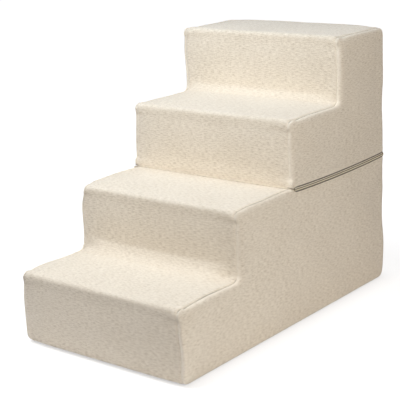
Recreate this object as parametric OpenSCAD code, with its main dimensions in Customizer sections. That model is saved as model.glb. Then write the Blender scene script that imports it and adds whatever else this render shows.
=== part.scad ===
// Pet stairs: two step-shaped foam blocks in a woven cover. The cover is made in two halves,
// hinged by a fabric tape at the front of the upper half and zipped together round the other
// three sides. Unzipped, the upper half tips forward onto the step below it.
// X runs across the steps, Y from the lowest step to the back, and Z up. The origin is on the
// floor, at the middle of the base.

/* [Stairs] */
// Width of the stairs across a step
stair_w = 406; // [300:2:520]
// Depth of one tread
tread_d = 178; // [140:1:230]
// Height of the lowest step
first_rise_h = 149; // [110:1:190]
// Height of each further step of the lower half
lower_rise_h = 133; // [100:1:180]
// Height of each step of the upper half
upper_rise_h = 137; // [100:1:180]
// Steps in the lower half
lower_steps = 2; // [1:1:3]
// Steps in the upper half
upper_steps = 2; // [1:1:3]

/* [Cover] */
// Thickness of the woven cover fabric
fabric_t = 1.4; // [0.8:0.1:2.4]
// Rounding of each side panel into the steps, the back and the base
edge_r = 10; // [7:0.5:14]
// How far the steps and the back sink towards the side seams
crown = 3; // [1:0.5:5]
// How far in from a side seam the sinking starts
crown_reach = 70; // [30:5:120]
// Radius of the rounded nose of each step
nose_r = 12; // [8:0.5:20]
// Radius of the hollow where a tread meets the riser above it
crease_r = 14; // [6:0.5:24]
// Radius of the lower half's front and back edges at the floor
foot_r = 16; // [10:0.5:30]
// Radius of the back edges on either side of the zip
split_r = 13; // [10:0.5:18]
// Radius of the upper half's front edge, over the hinge
hinge_edge_r = 6; // [4:0.5:9]
// Gap between the two halves when they are closed
split_gap = 0.8; // [0.7:0.1:2]

/* [Foam and linings] */
// Clearance between a foam block and its cover
foam_gap = 0.3; // [0.1:0.1:1]
// Thickness of the non-woven linings between the halves
lining_t = 1.2; // [0.6:0.1:1.6]

/* [Base] */
// Thickness of the base fabric
base_t = 0.8; // [0.5:0.1:1.5]
// Height of the rubber grip dots under the base
grip_h = 0.6; // [0.4:0.1:1.2]
// Radius of a grip dot
grip_r = 4; // [2:0.5:6]
// Distance between neighbouring grip dots
grip_pitch = 32; // [24:1:60]

/* [Hinge tape] */
// Radius of the rolled edge that the upper half turns on
hinge_roll_r = 1.2; // [1:0.1:1.6]
// How far the flat of the hinge tape reaches in between the halves
hinge_leaf_d = 14; // [10:1:30]
// Thickness of the flat of the hinge tape
hinge_leaf_t = 0.4; // [0.3:0.05:0.5]

/* [Zip] */
// How far the tape's face lies inside the cover's sides
tape_depth = 1.2; // [0.8:0.1:1.6]
// Thickness of the zip tape
tape_t = 0.6; // [0.4:0.1:0.7]
// Gap between the two tapes under the teeth
tape_slot = 1.6; // [1.4:0.1:1.8]
// Thickness of the row of teeth on the tape's face
teeth_t = 2; // [1.4:0.1:2.4]
// Width of one row, from its cord to the middle of the zip
row_w = 2.5; // [2:0.1:3]
// Distance from one tooth to the next in a row
tooth_pitch = 4.2; // [3:0.1:5]
// Length of a tooth past the middle of the zip
tooth_reach = 0.7; // [0.4:0.1:0.9]
// How far the middle of the zip lies below the split
zip_drop = 1.6; // [1.2:0.1:1.8]
// Distance from the hinge to the front ends of the zip
zip_setback = 6; // [5:0.5:12]

/* [Slider and pull] */
// Length of the slider along the zip
slider_l = 14; // [12:0.5:18]
// Thickness of the slider's plates
slider_plate_t = 0.6; // [0.5:0.05:0.65]
// Width of the slider's bridge
bridge_w = 1.6; // [1.2:0.1:2.2]
// Radius of the wire of the pull's link
link_wire_r = 0.6; // [0.5:0.05:0.7]
// Length of the pull's link between the middles of its two bends
link_run = 7; // [6:0.5:12]
// Length of the pull tab
tab_l = 26; // [16:1:40]
// Width of the pull tab at its foot
tab_w = 9; // [7:0.5:12]
// Thickness of the pull tab
tab_t = 1.2; // [0.8:0.1:1.6]

/* [Hidden] */

// Flat steps in a quarter turn of a panel's corner, and of the roll of a side panel's edge
corner_steps = 6;
edge_steps = 4;
// Least radius that a corner keeps where a side panel rolls in past it
least_r = 0.6;
// How far the side panels roll in, up and down, along the split and the floor, as shares of edge_r
split_roll_share = 1.5;
floor_roll_share = 0.5;
// Overlap of pieces that are made as one
join = 0.1;
// Clearance beside a sewn or sliding piece
seat_gap = 0.2;

linen = "#d8ccb8";
lining_white = "#eeebe4";
foam_cream = "#f0e6c4";
base_grey = "#77726a";
tape_beige = "#b5a68a";
teeth_brown = "#7d6d52";
metal = "#a8a399";

half_w = stair_w / 2;
flat_w = stair_w - 2 * edge_r;
total_d = (lower_steps + upper_steps) * tread_d;
front_y = -total_d / 2;
back_y = total_d / 2;
split_y = front_y + lower_steps * tread_d;
split_z = first_rise_h + (lower_steps - 1) * lower_rise_h;
upper_z = split_z + split_gap;
top_z = split_z + upper_steps * upper_rise_h;
foam_depth = max(fabric_t, base_t + grip_h) + foam_gap;

// The outline of a half, seen from the side

// Corners of a block of steps as [y, z], from the bottom front corner towards the back
function step_corners(y, z, depth, steps, height, rise_h) = concat(
    [[y, z], [y + depth, z], [y + depth, z + height]],
    [for (k = [steps - 1 : -1 : 1], low = [0, 1])
        [y + k * tread_d, z + height - (steps - 1 - k + low) * rise_h]],
    [[y, z + height - (steps - 1) * rise_h]]
);

// Radii of the same corners, in the same order
function step_radii(front_r, back_r, top_r, steps) = concat(
    [front_r, back_r, top_r],
    [for (k = [steps - 1 : -1 : 1], low = [0, 1]) low == 0 ? nose_r : crease_r],
    [nose_r]
);

lower_corners = step_corners(front_y, 0, total_d, lower_steps, split_z, lower_rise_h);
lower_radii = step_radii(foot_r, foot_r, split_r, lower_steps);
upper_corners = step_corners(
    split_y, upper_z, upper_steps * tread_d, upper_steps, top_z - upper_z, upper_rise_h);
upper_radii = step_radii(hinge_edge_r, split_r, nose_r, upper_steps);

function unit(v) = v / norm(v);
function left_of(v) = [-v[1], v[0]];

// How far an edge moves in: by depth, by roll beside a side seam, more along the split and less
// at the floor, and by sink where the cover is crowned, which is everywhere but on those two
function edge_inset(p, along, depth, roll, sink) =
    let (
        level = abs(along[0]) > abs(along[1]),
        on_split = level && (p[1] == split_z || p[1] == upper_z),
        on_floor = level && p[1] == 0
    )
    depth + roll * (on_split ? split_roll_share : on_floor ? floor_roll_share : 1)
        + (on_split || on_floor ? 0 : sink);

// One corner, moved in and rounded: its radius shrinks on a nose and grows in a crease
function round_corner(before, p, after, r, depth, roll, sink) =
    let (
        u = unit(p - before),
        v = unit(after - p),
        q = p + left_of(u) * edge_inset(p, u, depth, roll, sink)
            + left_of(v) * edge_inset(p, v, depth, roll, sink),
        nose = left_of(u) * v > 0,
        turn_r = nose ? max(r - depth - roll, least_r) : r + depth + roll,
        centre = q - u * turn_r + v * turn_r
    )
    [for (i = [0 : corner_steps])
        let (a = 90 * i / corner_steps) centre + turn_r * (u * sin(a) - v * cos(a))];

function outline(corners, radii, depth, roll, sink) =
    let (n = len(corners))
    [for (i = [0 : n - 1], p = round_corner(
        corners[(i + n - 1) % n], corners[i], corners[(i + 1) % n], radii[i], depth, roll, sink)) p];

// The stretch of an outline from one of its points to another
function stretch(points, from, to) = [for (i = [from : to]) points[i % len(points)]];
function reversed(points) = [for (i = [len(points) - 1 : -1 : 0]) points[i]];

// Number of an outline's first and last point at a corner
function corner_start(corner) = corner * (corner_steps + 1);
function corner_end(corner) = corner_start(corner) + corner_steps;

// Cover and foam

// A solid skin over rings of as many points each. cap lists the faces that close the first ring
module ring_loft(rings, cap) {
    n = len(rings[0]);
    last = (len(rings) - 1) * n;
    polyhedron(
        points = [for (ring = rings, p = ring) p],
        faces = concat(
            cap,
            [for (k = [0 : len(rings) - 2], i = [0 : n - 1], half = [0, 1])
                let (a = k * n + i, b = k * n + (i + 1) % n)
                half == 0 ? [a, a + n, b] : [b, a + n, b + n]],
            [for (face = cap) [for (i = reversed(face)) last + i]]
        )
    );
}

// Places across the steps from seam to seam, each with how far the cover sinks there
crown_shares = [0, 0.3, 0.65, 1];
stations = concat(
    [for (share = crown_shares)
        [-flat_w / 2 + crown_reach * share, crown * pow(1 - share, 2)]],
    [for (share = reversed(crown_shares))
        [flat_w / 2 - crown_reach * share, crown * pow(1 - share, 2)]]
);

// One face of a strip of cover at a station. On the lower half's top it starts at the hinge
function strip_face(corners, radii, from, to, depth, station, from_hinge) =
    [for (p = concat(
        from_hinge ? [[split_y, split_z - depth]] : [],
        stretch(outline(corners, radii, depth, 0, station[1]), from, to)))
        [station[0], p[0], p[1]]];

// A strip of cover along a stretch of the outline, crowned across the steps
module cover_strip(corners, radii, from, to, from_hinge = false) {
    rings = [for (station = stations) concat(
        strip_face(corners, radii, from, to, 0, station, from_hinge),
        reversed(strip_face(corners, radii, from, to, fabric_t, station, from_hinge)))];
    m = len(rings[0]) / 2;
    color(linen)
        ring_loft(rings, [for (i = [0 : m - 2]) [i, i + 1, 2 * m - 2 - i, 2 * m - 1 - i]]);
}

// The whole outline at x. It starts at the back corner on the floor, or over the split, from
// where all of it can be seen, so that the faces that close it are simple
function ring(corners, radii, x, depth, roll, sink) =
    let (
        points = outline(corners, radii, depth, roll, sink),
        n = len(points),
        first = corner_start(1) + floor(corner_steps / 2)
    )
    [for (i = [0 : n - 1]) let (p = points[(first + i) % n]) [x, p[0], p[1]]];

// The outline rolled over by a degrees beside a side seam, for a surface that lies at depth
function rolled_ring(corners, radii, a, depth, side) =
    let (radius = edge_r - depth)
    ring(corners, radii, side * (flat_w / 2 + radius * sin(a)), depth, radius * (1 - cos(a)), crown);

function whole(rings) = [[for (i = [0 : len(rings[0]) - 1]) i]];

edge_angles = [for (i = [0 : edge_steps]) 90 * i / edge_steps];

// A side panel: flat, with its edges rolled over to meet the strips
module side_panel(corners, radii, side) {
    inner = [for (a = reversed(edge_angles)) rolled_ring(corners, radii, a, fabric_t, side)];
    outer = [for (a = edge_angles) rolled_ring(corners, radii, a, 0, side)];
    rings = side > 0 ? concat(inner, outer) : reversed(concat(inner, outer));
    color(linen) ring_loft(rings, whole(rings));
}

module foam_block(corners, radii) {
    left = [for (a = reversed(edge_angles)) rolled_ring(corners, radii, a, foam_depth, -1)];
    between = [for (i = [1 : len(stations) - 2])
        ring(corners, radii, stations[i][0], foam_depth, 0, stations[i][1])];
    right = [for (a = edge_angles) rolled_ring(corners, radii, a, foam_depth, 1)];
    rings = concat(left, between, right);
    color(foam_cream) ring_loft(rings, whole(rings));
}

outline_points = len(lower_corners) * (corner_steps + 1);
upper_outline_points = len(upper_corners) * (corner_steps + 1);

module lower_foam() {
    foam_block(lower_corners, lower_radii);
}

module upper_foam() {
    foam_block(upper_corners, upper_radii);
}

// The step covers run down over the steps and turn under the front edge of their half
module lower_step_cover() {
    cover_strip(
        lower_corners, lower_radii, corner_start(3), outline_points + corner_end(0), from_hinge = true);
}

module upper_step_cover() {
    cover_strip(
        upper_corners, upper_radii, corner_start(2), upper_outline_points + corner_end(0));
}

// The back panels turn over the edges of the back. The upper step cover takes the top one
module lower_back_panel() {
    cover_strip(lower_corners, lower_radii, corner_start(1), corner_end(2));
}

module upper_back_panel() {
    cover_strip(upper_corners, upper_radii, corner_start(1), corner_start(2));
}

// A level sheet between the side seams. Where an edge meets a crowned face it follows its sinking
module sheet(from_y, to_y, crowned_from, thickness) {
    linear_extrude(thickness)
        polygon(concat(
            [for (station = stations) [station[0], from_y + (crowned_from ? station[1] : 0)]],
            [for (station = reversed(stations)) [station[0], to_y - station[1]]]
        ));
}

// The linings close each half along the split
module lower_lining() {
    color(lining_white)
        translate([0, 0, split_z - lining_t])
            sheet(split_y, back_y - split_r, false, lining_t);
}

module upper_lining() {
    color(lining_white)
        translate([0, 0, upper_z])
            sheet(split_y + hinge_edge_r, back_y - split_r, true, lining_t);
}

// Base

base_l = total_d - 2 * foot_r;
grip_margin = grip_pitch / 4;
// An odd number of dots each way puts one at the middle
function odd_count(length) = 2 * floor((length / 2 - grip_margin) / grip_pitch) + 1;
grip_columns = odd_count(flat_w);
grip_rows = odd_count(base_l);

module grip_dot() {
    cylinder(h = grip_h + join, r = grip_r, $fn = 32);
}

module base_panel() {
    color(base_grey) {
        translate([0, 0, grip_h])
            sheet(-base_l / 2, base_l / 2, true, base_t);
        for (i = [0 : grip_columns - 1], j = [0 : grip_rows - 1])
            translate([
                (i - (grip_columns - 1) / 2) * grip_pitch,
                (j - (grip_rows - 1) / 2) * grip_pitch,
                0
            ])
                grip_dot();
    }
}

// Hinge tape

hinge_y = split_y + hinge_roll_r / 4;
hinge_z = split_z + hinge_roll_r + seat_gap;

module hinge_tape() {
    color(linen) {
        translate([-flat_w / 2, hinge_y, hinge_z])
            rotate([0, 90, 0])
                cylinder(h = flat_w, r = hinge_roll_r, $fn = 32);
        translate([-flat_w / 2, hinge_y, split_z + seat_gap / 2])
            cube([flat_w, hinge_leaf_d, hinge_leaf_t]);
        // The stitched root of the roll, where it turns down into the flat
        translate([-flat_w / 2, hinge_y - hinge_leaf_t, split_z + seat_gap / 2])
            cube([flat_w, 2 * hinge_leaf_t, hinge_roll_r]);
    }
}

// Zip, in a frame that runs along a side: x along the zip, y up from its middle, z outwards
// from the cover's side

zip_z = split_z - zip_drop;
zip_start_y = split_y + zip_setback;
zip_corner_y = back_y - edge_r;

module on_left(y) {
    translate([-half_w, y, zip_z]) rotate([90, 0, -90]) children();
}

module on_right(y) {
    translate([half_w, y, zip_z]) rotate([90, 0, 90]) children();
}

module on_back(x) {
    translate([x, back_y, zip_z]) rotate([90, 0, 180]) children();
}

// The zip's way round the left side, the back and the right side, depth inside the cover
function zip_path(depth) = concat(
    [[-half_w + depth, zip_start_y]],
    [for (a = [180 : -90 / corner_steps : 90])
        [-flat_w / 2, zip_corner_y] + (edge_r - depth) * [cos(a), sin(a)]],
    [for (a = [90 : -90 / corner_steps : 0])
        [flat_w / 2, zip_corner_y] + (edge_r - depth) * [cos(a), sin(a)]],
    [[half_w - depth, zip_start_y]]
);

// How far the rolled edges stand back from the split at a depth inside the cover
function groove(depth) = min(
    split_r - sqrt(pow(split_r, 2) - pow(split_r - depth, 2)),
    split_roll_share * (edge_r - sqrt(pow(edge_r, 2) - pow(edge_r - depth, 2)))
);

tape_edge = groove(tape_depth + tape_t) - seat_gap;

module tape(low, high) {
    color(tape_beige)
        translate([0, 0, low])
            linear_extrude(high - low)
                polygon(concat(
                    zip_path(tape_depth),
                    reversed(zip_path(tape_depth + tape_t))
                ));
}

module upper_zip_tape() {
    tape(zip_z + tape_slot / 2, upper_z + tape_edge);
}

module lower_zip_tape() {
    tape(split_z - tape_edge, zip_z - tape_slot / 2);
}

// A row's cord lies along the far edge of its teeth
cord_w = row_w / 4;
// Widths of a tooth at its root and its tip, as shares of the pitch
tooth_root_share = 0.42;
tooth_tip_share = 0.3;
tooth_root_w = tooth_pitch * tooth_root_share;
tooth_tip_w = tooth_pitch * tooth_tip_share;
// The rows stand half a pitch apart: where the first tooth of each is, as a share of the pitch
upper_phase_share = 0.25;
lower_phase_share = 0.75;
slider_park = slider_l + 2 * seat_gap;
stop_l = row_w;
row_start_y = zip_start_y + stop_l + slider_park;
row_end_y = zip_start_y + stop_l + seat_gap;

function tooth_points(middle) = [
    [middle - tooth_root_w / 2, row_w - cord_w],
    [middle - tooth_tip_w / 2, -tooth_reach],
    [middle + tooth_tip_w / 2, -tooth_reach],
    [middle + tooth_root_w / 2, row_w - cord_w]
];

// A straight run of a row. Teeth of the other row stand half a pitch further on
module teeth_run(length, phase) {
    count = floor(length / tooth_pitch);
    step = length / count;
    translate([0, 0, -tape_depth])
        linear_extrude(teeth_t)
            polygon(concat(
                [[length, row_w], [0, row_w], [0, row_w - cord_w]],
                [for (i = [0 : count - 1], p = tooth_points((i + phase) * step)) p],
                [[length, row_w - cord_w]]
            ));
}

// The same round a back corner, as a bent cord with its teeth standing on it
module teeth_corner(x, from, phase) {
    face_r = edge_r - tape_depth;
    cord_r = face_r + teeth_t;
    count = floor(PI / 2 * cord_r / tooth_pitch);
    translate([x, zip_corner_y, 0]) {
        translate([0, 0, row_w - cord_w])
            rotate([0, 0, from])
                rotate_extrude(angle = 90, $fn = 96)
                    translate([face_r, 0, 0])
                        square([teeth_t, cord_w]);
        for (i = [0 : count - 1])
            rotate([0, 0, from + 90 * (i + phase) / count])
                translate([face_r + join, -tooth_tip_w / 2, -tooth_reach])
                    cube([teeth_t - 2 * join, tooth_tip_w, row_w + tooth_reach - cord_w + join]);
    }
}

module teeth_row(phase) {
    color(teeth_brown) {
        translate([-half_w, zip_corner_y, 0])
            rotate([90, 0, -90])
                teeth_run(zip_corner_y - row_start_y, phase);
        teeth_corner(-flat_w / 2, 90, phase);
        translate([flat_w / 2, back_y, 0])
            rotate([90, 0, 180])
                teeth_run(flat_w, phase);
        teeth_corner(flat_w / 2, 0, phase);
        translate([half_w, row_end_y, 0])
            rotate([90, 0, 90])
                teeth_run(zip_corner_y - row_end_y, phase);
    }
}

module upper_zip_teeth() {
    translate([0, 0, zip_z]) teeth_row(upper_phase_share);
}

module lower_zip_teeth() {
    translate([0, 0, zip_z]) mirror([0, 0, 1]) teeth_row(lower_phase_share);
}

// Stops: one on each row past the closed slider, and one across both rows at the other end
module end_stop() {
    translate([-stop_l, tape_slot / 2, -tape_depth + seat_gap / 2])
        linear_extrude(teeth_t)
            square([stop_l - seat_gap, row_w - tape_slot / 2]);
}

module upper_end_stop() {
    color(metal) on_left(zip_start_y) end_stop();
}

module lower_end_stop() {
    color(metal) on_left(zip_start_y) mirror([0, 1, 0]) end_stop();
}

module bottom_stop() {
    color(metal)
        on_right(zip_start_y)
            translate([0, -row_w, -tape_depth + seat_gap / 2])
                cube([stop_l - seat_gap, 2 * row_w, teeth_t]);
}

// Slider, parked against the end stops. Its wedge is at its front end, towards the hinge

slider_front_y = zip_start_y + stop_l + seat_gap;
slider_half_h = row_w + seat_gap + slider_plate_t;
plate_low = -tape_depth + teeth_t + seat_gap;
plate_high = plate_low + slider_plate_t;
back_plate_high = -tape_depth - tape_t - seat_gap;
wedge_w = tape_slot - 2 * seat_gap;
// The slider's outline from nose to tail, as shares of its length and of its half height
plate_shares = [[0, 0.8], [0.12, 1], [0.5, 1], [1, 0.86]];
flange_start_share = 0.5;
flange_length_share = 0.45;
flange_reach_share = 0.86;
wedge_start_share = 0.1;
wedge_length_share = 0.25;
// The bridge's thickness as a share of a plate's, and its length as a share of the slider's
bridge_t_share = 1.5;
bridge_l_share = 0.7;
// How far the bridge's legs lean in, outside and inside, as shares of its thickness
leg_outside_share = 0.8;
leg_inside_share = 1.6;
bridge_t = slider_plate_t * bridge_t_share;
bridge_l = slider_l * bridge_l_share;
// The link turns round the bridge, so its bend clears the bridge's corners
link_turn_r = norm([bridge_w, bridge_t]) / 2 + seat_gap + link_wire_r;
bridge_h = seat_gap + link_turn_r + link_wire_r + bridge_t / 2;

// A slider plate narrows towards its tail, where the closed teeth leave it
module slider_plate(low) {
    translate([0, 0, low])
        linear_extrude(slider_plate_t)
            polygon([for (side = [-1, 1], share = side < 0 ? plate_shares : reversed(plate_shares))
                [slider_l * share[0], side * slider_half_h * share[1]]]);
}

// A flange holds a row in. It reaches from the front plate to just above the tape
module slider_flange() {
    translate([slider_l * flange_start_share, row_w + seat_gap, -tape_depth + seat_gap])
        cube([
            slider_l * flange_length_share,
            slider_half_h * flange_reach_share - row_w - seat_gap,
            plate_high + tape_depth - seat_gap
        ]);
}

// The bridge is an arch along the slider. The link hangs round it
module slider_bridge() {
    outside = bridge_t * leg_outside_share;
    inside = bridge_t * leg_inside_share;
    translate([(slider_l - bridge_l) / 2, bridge_w / 2, plate_high - join])
        rotate([90, 0, 0])
            linear_extrude(bridge_w)
                polygon([
                    [0, 0],
                    [bridge_t, 0],
                    [inside, bridge_h - bridge_t + join],
                    [bridge_l - inside, bridge_h - bridge_t + join],
                    [bridge_l - bridge_t, 0],
                    [bridge_l, 0],
                    [bridge_l - outside, bridge_h + join],
                    [outside, bridge_h + join]
                ]);
}

module zip_slider() {
    color(metal)
        on_left(slider_front_y)
            mirror([1, 0, 0]) {
                slider_plate(plate_low);
                slider_plate(back_plate_high - slider_plate_t);
                slider_flange();
                mirror([0, 1, 0]) slider_flange();
                translate([slider_l * wedge_start_share, -wedge_w / 2, back_plate_high - join])
                    cube([slider_l * wedge_length_share, wedge_w, plate_low - back_plate_high + 2 * join]);
                slider_bridge();
            }
}

// Link and tab, hanging from the bridge

bridge_middle_y = slider_front_y + slider_l / 2;
link_x = -half_w - plate_high - bridge_h + bridge_t / 2;

module link_bend() {
    rotate([90, 0, 0])
        rotate_extrude(angle = 180, $fn = 48)
            translate([link_turn_r, 0, 0])
                circle(r = link_wire_r, $fn = 24);
}

// A wire oval that hangs round the bridge, across the zip
module pull_link() {
    color(metal)
        translate([link_x, bridge_middle_y, zip_z]) {
            link_bend();
            translate([0, 0, -link_run]) rotate([0, 180, 0]) link_bend();
            for (side = [-1, 1])
                translate([side * link_turn_r, 0, -link_run])
                    cylinder(h = link_run, r = link_wire_r, $fn = 24);
        }
}

eye_r = link_wire_r + seat_gap;
eye_z = zip_z - link_run - link_turn_r;
// Width of the tab round its eye, as a share of its width at the foot
tab_head_share = 0.7;
tab_head_w = tab_w * tab_head_share;

// The tab widens a little to its round foot. Its eye hangs on the bottom of the link
module pull_tab() {
    color(metal)
        translate([link_x - tab_t / 2, bridge_middle_y, eye_z])
            rotate([90, 0, 90])
                linear_extrude(tab_t)
                    difference() {
                        polygon(concat(
                            [for (a = [0 : 180 / corner_steps : 180])
                                tab_head_w / 2 * [cos(a), sin(a)]],
                            [for (a = [180 : 180 / corner_steps : 360])
                                [0, -(tab_l - tab_head_w / 2 - tab_w / 2)] + tab_w / 2 * [cos(a), sin(a)]]
                        ));
                        circle(r = eye_r, $fn = 32);
                    }
}

lower_foam();
lower_step_cover();
lower_back_panel();
side_panel(lower_corners, lower_radii, -1);  // lower_left_panel
side_panel(lower_corners, lower_radii, 1);  // lower_right_panel
base_panel();
lower_lining();
hinge_tape();
upper_foam();
upper_step_cover();
upper_back_panel();
side_panel(upper_corners, upper_radii, -1);  // upper_left_panel
side_panel(upper_corners, upper_radii, 1);  // upper_right_panel
upper_lining();
lower_zip_tape();
lower_zip_teeth();
upper_zip_tape();
upper_zip_teeth();
lower_end_stop();
upper_end_stop();
bottom_stop();
zip_slider();
pull_link();
pull_tab();
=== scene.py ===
from math import cos, pi, radians, sin

import bpy
import numpy as np
from mathutils import Matrix, Vector
from mathutils.noise import noise


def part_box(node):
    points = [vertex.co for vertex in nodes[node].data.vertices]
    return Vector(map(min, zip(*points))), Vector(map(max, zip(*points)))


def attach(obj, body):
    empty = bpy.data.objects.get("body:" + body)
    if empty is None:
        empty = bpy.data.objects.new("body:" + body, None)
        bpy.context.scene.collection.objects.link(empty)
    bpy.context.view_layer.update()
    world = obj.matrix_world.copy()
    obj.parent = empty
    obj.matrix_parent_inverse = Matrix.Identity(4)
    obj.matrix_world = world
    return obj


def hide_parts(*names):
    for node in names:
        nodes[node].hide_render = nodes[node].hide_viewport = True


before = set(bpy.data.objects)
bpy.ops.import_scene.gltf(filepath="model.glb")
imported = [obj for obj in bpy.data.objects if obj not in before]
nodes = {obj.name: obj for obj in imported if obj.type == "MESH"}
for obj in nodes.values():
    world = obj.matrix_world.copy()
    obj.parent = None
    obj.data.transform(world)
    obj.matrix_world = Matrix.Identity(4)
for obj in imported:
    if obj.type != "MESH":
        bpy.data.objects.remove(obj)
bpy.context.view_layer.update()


# Camera
# The product photograph is taken from the right and a little above, with a long lens.
camera_data = bpy.data.cameras.new("camera")
camera_data.lens = 105.01
camera_data.sensor_width = 36
camera = bpy.data.objects.new("camera", camera_data)
bpy.context.scene.collection.objects.link(camera)
camera.matrix_world = (
    Matrix.Translation((1.4312, -1.8062, 0.8731))
    @ Matrix.Rotation(radians(38.94), 4, "Z")
    @ Matrix.Rotation(radians(90 - 15.48), 4, "X")
    @ Matrix.Rotation(radians(-2.49), 4, "Z")
)
bpy.context.scene.camera = camera
bpy.context.scene.view_settings.view_transform = "Standard"


# Studio
# The stairs stand on a round white sheet in a dim warm room, lit by soft boxes in front on the
# left, on the right and overhead. The camera sees the floor and the room as white. Near the base
# the floor's glow is dimmed by ambient occlusion, a painted soft contact shadow.
def add_node(tree, kind, settings=None, **inputs):
    """A shader node. An input is a plain value, or another node's socket to link."""
    made = tree.nodes.new(kind)
    for key, value in (settings or {}).items():
        setattr(made, key, value)
    for key, value in inputs.items():
        numbered = key[0] == "i" and key[1:].isdigit()
        socket = made.inputs[int(key[1:]) if numbered else key.replace("_", " ")]
        if isinstance(value, bpy.types.NodeSocket):
            tree.links.new(value, socket)
        else:
            socket.default_value = value
    return made


room_white = (1, 1, 1, 1)
room_light = (0.13, 0.08, 0.05, 1)
room = bpy.data.worlds.new("room")
bpy.context.scene.world = room
room.use_nodes = True
room.node_tree.nodes.clear()
rays = add_node(room.node_tree, "ShaderNodeLightPath")
seen = add_node(
    room.node_tree, "ShaderNodeMath", {"operation": "MAXIMUM"},
    i0=rays.outputs["Is Camera Ray"], i1=rays.outputs["Is Glossy Ray"])
sky_tone = add_node(
    room.node_tree, "ShaderNodeMix", {"data_type": "RGBA"},
    Factor=seen.outputs[0], i6=room_light, i7=room_white)
sky = add_node(room.node_tree, "ShaderNodeBackground", Color=sky_tone.outputs[2])
add_node(room.node_tree, "ShaderNodeOutputWorld", Surface=sky.outputs[0])

floor_w = 14
sheet_r = 0.5
sheet_fade_r = 0.9
painted_shadow_reach = 0.045
painted_shadow_floor = 0.68
bpy.ops.object.select_all(action="DESELECT")
bpy.ops.mesh.primitive_plane_add(size=floor_w, location=(0, 0, 0))
floor = bpy.context.active_object
floor.name = "floor"
paper = bpy.data.materials.new("paper")
paper.use_nodes = True
paper.node_tree.nodes.clear()
paper_spot = add_node(paper.node_tree, "ShaderNodeTexCoord").outputs["Object"]
paper_off = add_node(
    paper.node_tree, "ShaderNodeVectorMath", {"operation": "LENGTH"},
    i0=paper_spot).outputs["Value"]
paper_tone = add_node(
    paper.node_tree, "ShaderNodeMapRange", Value=paper_off,
    From_Min=sheet_r, From_Max=sheet_fade_r, To_Min=0.86, To_Max=0.12).outputs[0]
paper_white = add_node(
    paper.node_tree, "ShaderNodeMapRange", Value=paper_off,
    From_Min=sheet_r, From_Max=sheet_fade_r, To_Min=0.80, To_Max=1.0).outputs[0]
# Painted contact shadow: the floor's glow, which only the camera sees, is dimmed near the base by
# ambient occlusion.
paper_open = add_node(
    paper.node_tree, "ShaderNodeAmbientOcclusion", {"samples": 24},
    Distance=painted_shadow_reach).outputs["AO"]
paper_painted_shadow = add_node(
    paper.node_tree, "ShaderNodeMapRange", Value=paper_open,
    From_Min=0.0, From_Max=1.0, To_Min=painted_shadow_floor, To_Max=1.0).outputs[0]
paper_glow_painted_shadow = add_node(
    paper.node_tree, "ShaderNodeMath", {"operation": "MULTIPLY"},
    i0=paper_white, i1=paper_painted_shadow).outputs[0]
paper_matte = add_node(paper.node_tree, "ShaderNodeBsdfDiffuse", Color=paper_tone)
paper_shade = add_node(paper.node_tree, "ShaderNodeBsdfDiffuse", Color=(0.44, 0.44, 0.44, 1))
paper_lift = add_node(
    paper.node_tree, "ShaderNodeEmission", Color=room_white, Strength=paper_glow_painted_shadow)
paper_seen = add_node(
    paper.node_tree, "ShaderNodeAddShader", i0=paper_shade.outputs[0], i1=paper_lift.outputs[0])
paper_rays = add_node(paper.node_tree, "ShaderNodeLightPath")
paper_both = add_node(
    paper.node_tree, "ShaderNodeMixShader",
    Fac=paper_rays.outputs["Is Camera Ray"], i1=paper_matte.outputs[0], i2=paper_seen.outputs[0])
add_node(paper.node_tree, "ShaderNodeOutputMaterial", Surface=paper_both.outputs[0])
floor.data.materials.append(paper)


def soft_box(name, place, target, width, height, power, colour):
    """A rectangular lamp at place that looks at target."""
    lamp_data = bpy.data.lights.new(name, "AREA")
    lamp_data.shape = "RECTANGLE"
    lamp_data.size = width
    lamp_data.size_y = height
    lamp_data.energy = power
    lamp_data.color = colour
    lamp = bpy.data.objects.new(name, lamp_data)
    bpy.context.scene.collection.objects.link(lamp)
    aim = (Vector(target) - Vector(place)).to_track_quat("-Z", "Y")
    lamp.matrix_world = Matrix.Translation(place) @ aim.to_matrix().to_4x4()


lit_at = (0, 0, 0.3)
soft_box("front", (-0.5, -0.75, 1.35), lit_at, 0.8, 0.8, 17.4, (0.90, 0.95, 1.0))
soft_box("side", (1.6, -0.4, 1.0), lit_at, 1.0, 1.0, 16.0, (1.0, 0.995, 0.965))
soft_box("overhead", (0, 0.2, 1.9), lit_at, 1.0, 1.0, 5.6, (0.5, 0.75, 1.0))


# Foam blocks
# Each half of the stairs is one block of cut polyurethane foam, which fills its cover. The
# block is the form that the cover is made over, so its surface is meshed in even squares.
def only(piece):
    """Selects a piece and makes it active, with nothing else selected."""
    bpy.ops.object.select_all(action="DESELECT")
    piece.select_set(True)
    bpy.context.view_layer.objects.active = piece


def apply_modifier(piece, kind, **settings):
    """Adds a modifier with its settings and applies it."""
    only(piece)
    modifier = piece.modifiers.new(kind, kind)
    for key, value in settings.items():
        setattr(modifier, key, value)
    bpy.ops.object.modifier_apply(modifier=modifier.name)


def positions(piece):
    """The places of a piece's points, as an array."""
    place = np.empty(len(piece.data.vertices) * 3)
    piece.data.vertices.foreach_get("co", place)
    return place.reshape(-1, 3)


def move_to(piece, place):
    piece.data.vertices.foreach_set("co", place.ravel())
    piece.data.update()


def normals(piece):
    """The way that the surface faces at each point."""
    found = np.empty(len(piece.data.vertices) * 3)
    piece.data.vertex_normals.foreach_get("vector", found)
    return found.reshape(-1, 3)


cover_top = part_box("upper_step_cover")[1]
seam_x, back_y, top_z = cover_top.x, cover_top.y, cover_top.z
split_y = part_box("upper_step_cover")[0].y
split_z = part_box("lower_lining")[1].z
tread = (back_y - split_y) / 2


def highest(node, low_y, high_y):
    """The top of a CAD cover between two places along Y."""
    corners = [nodes[node].matrix_world @ vertex.co for vertex in nodes[node].data.vertices]
    return max(corner.z for corner in corners if low_y < corner.y < high_y)


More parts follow.
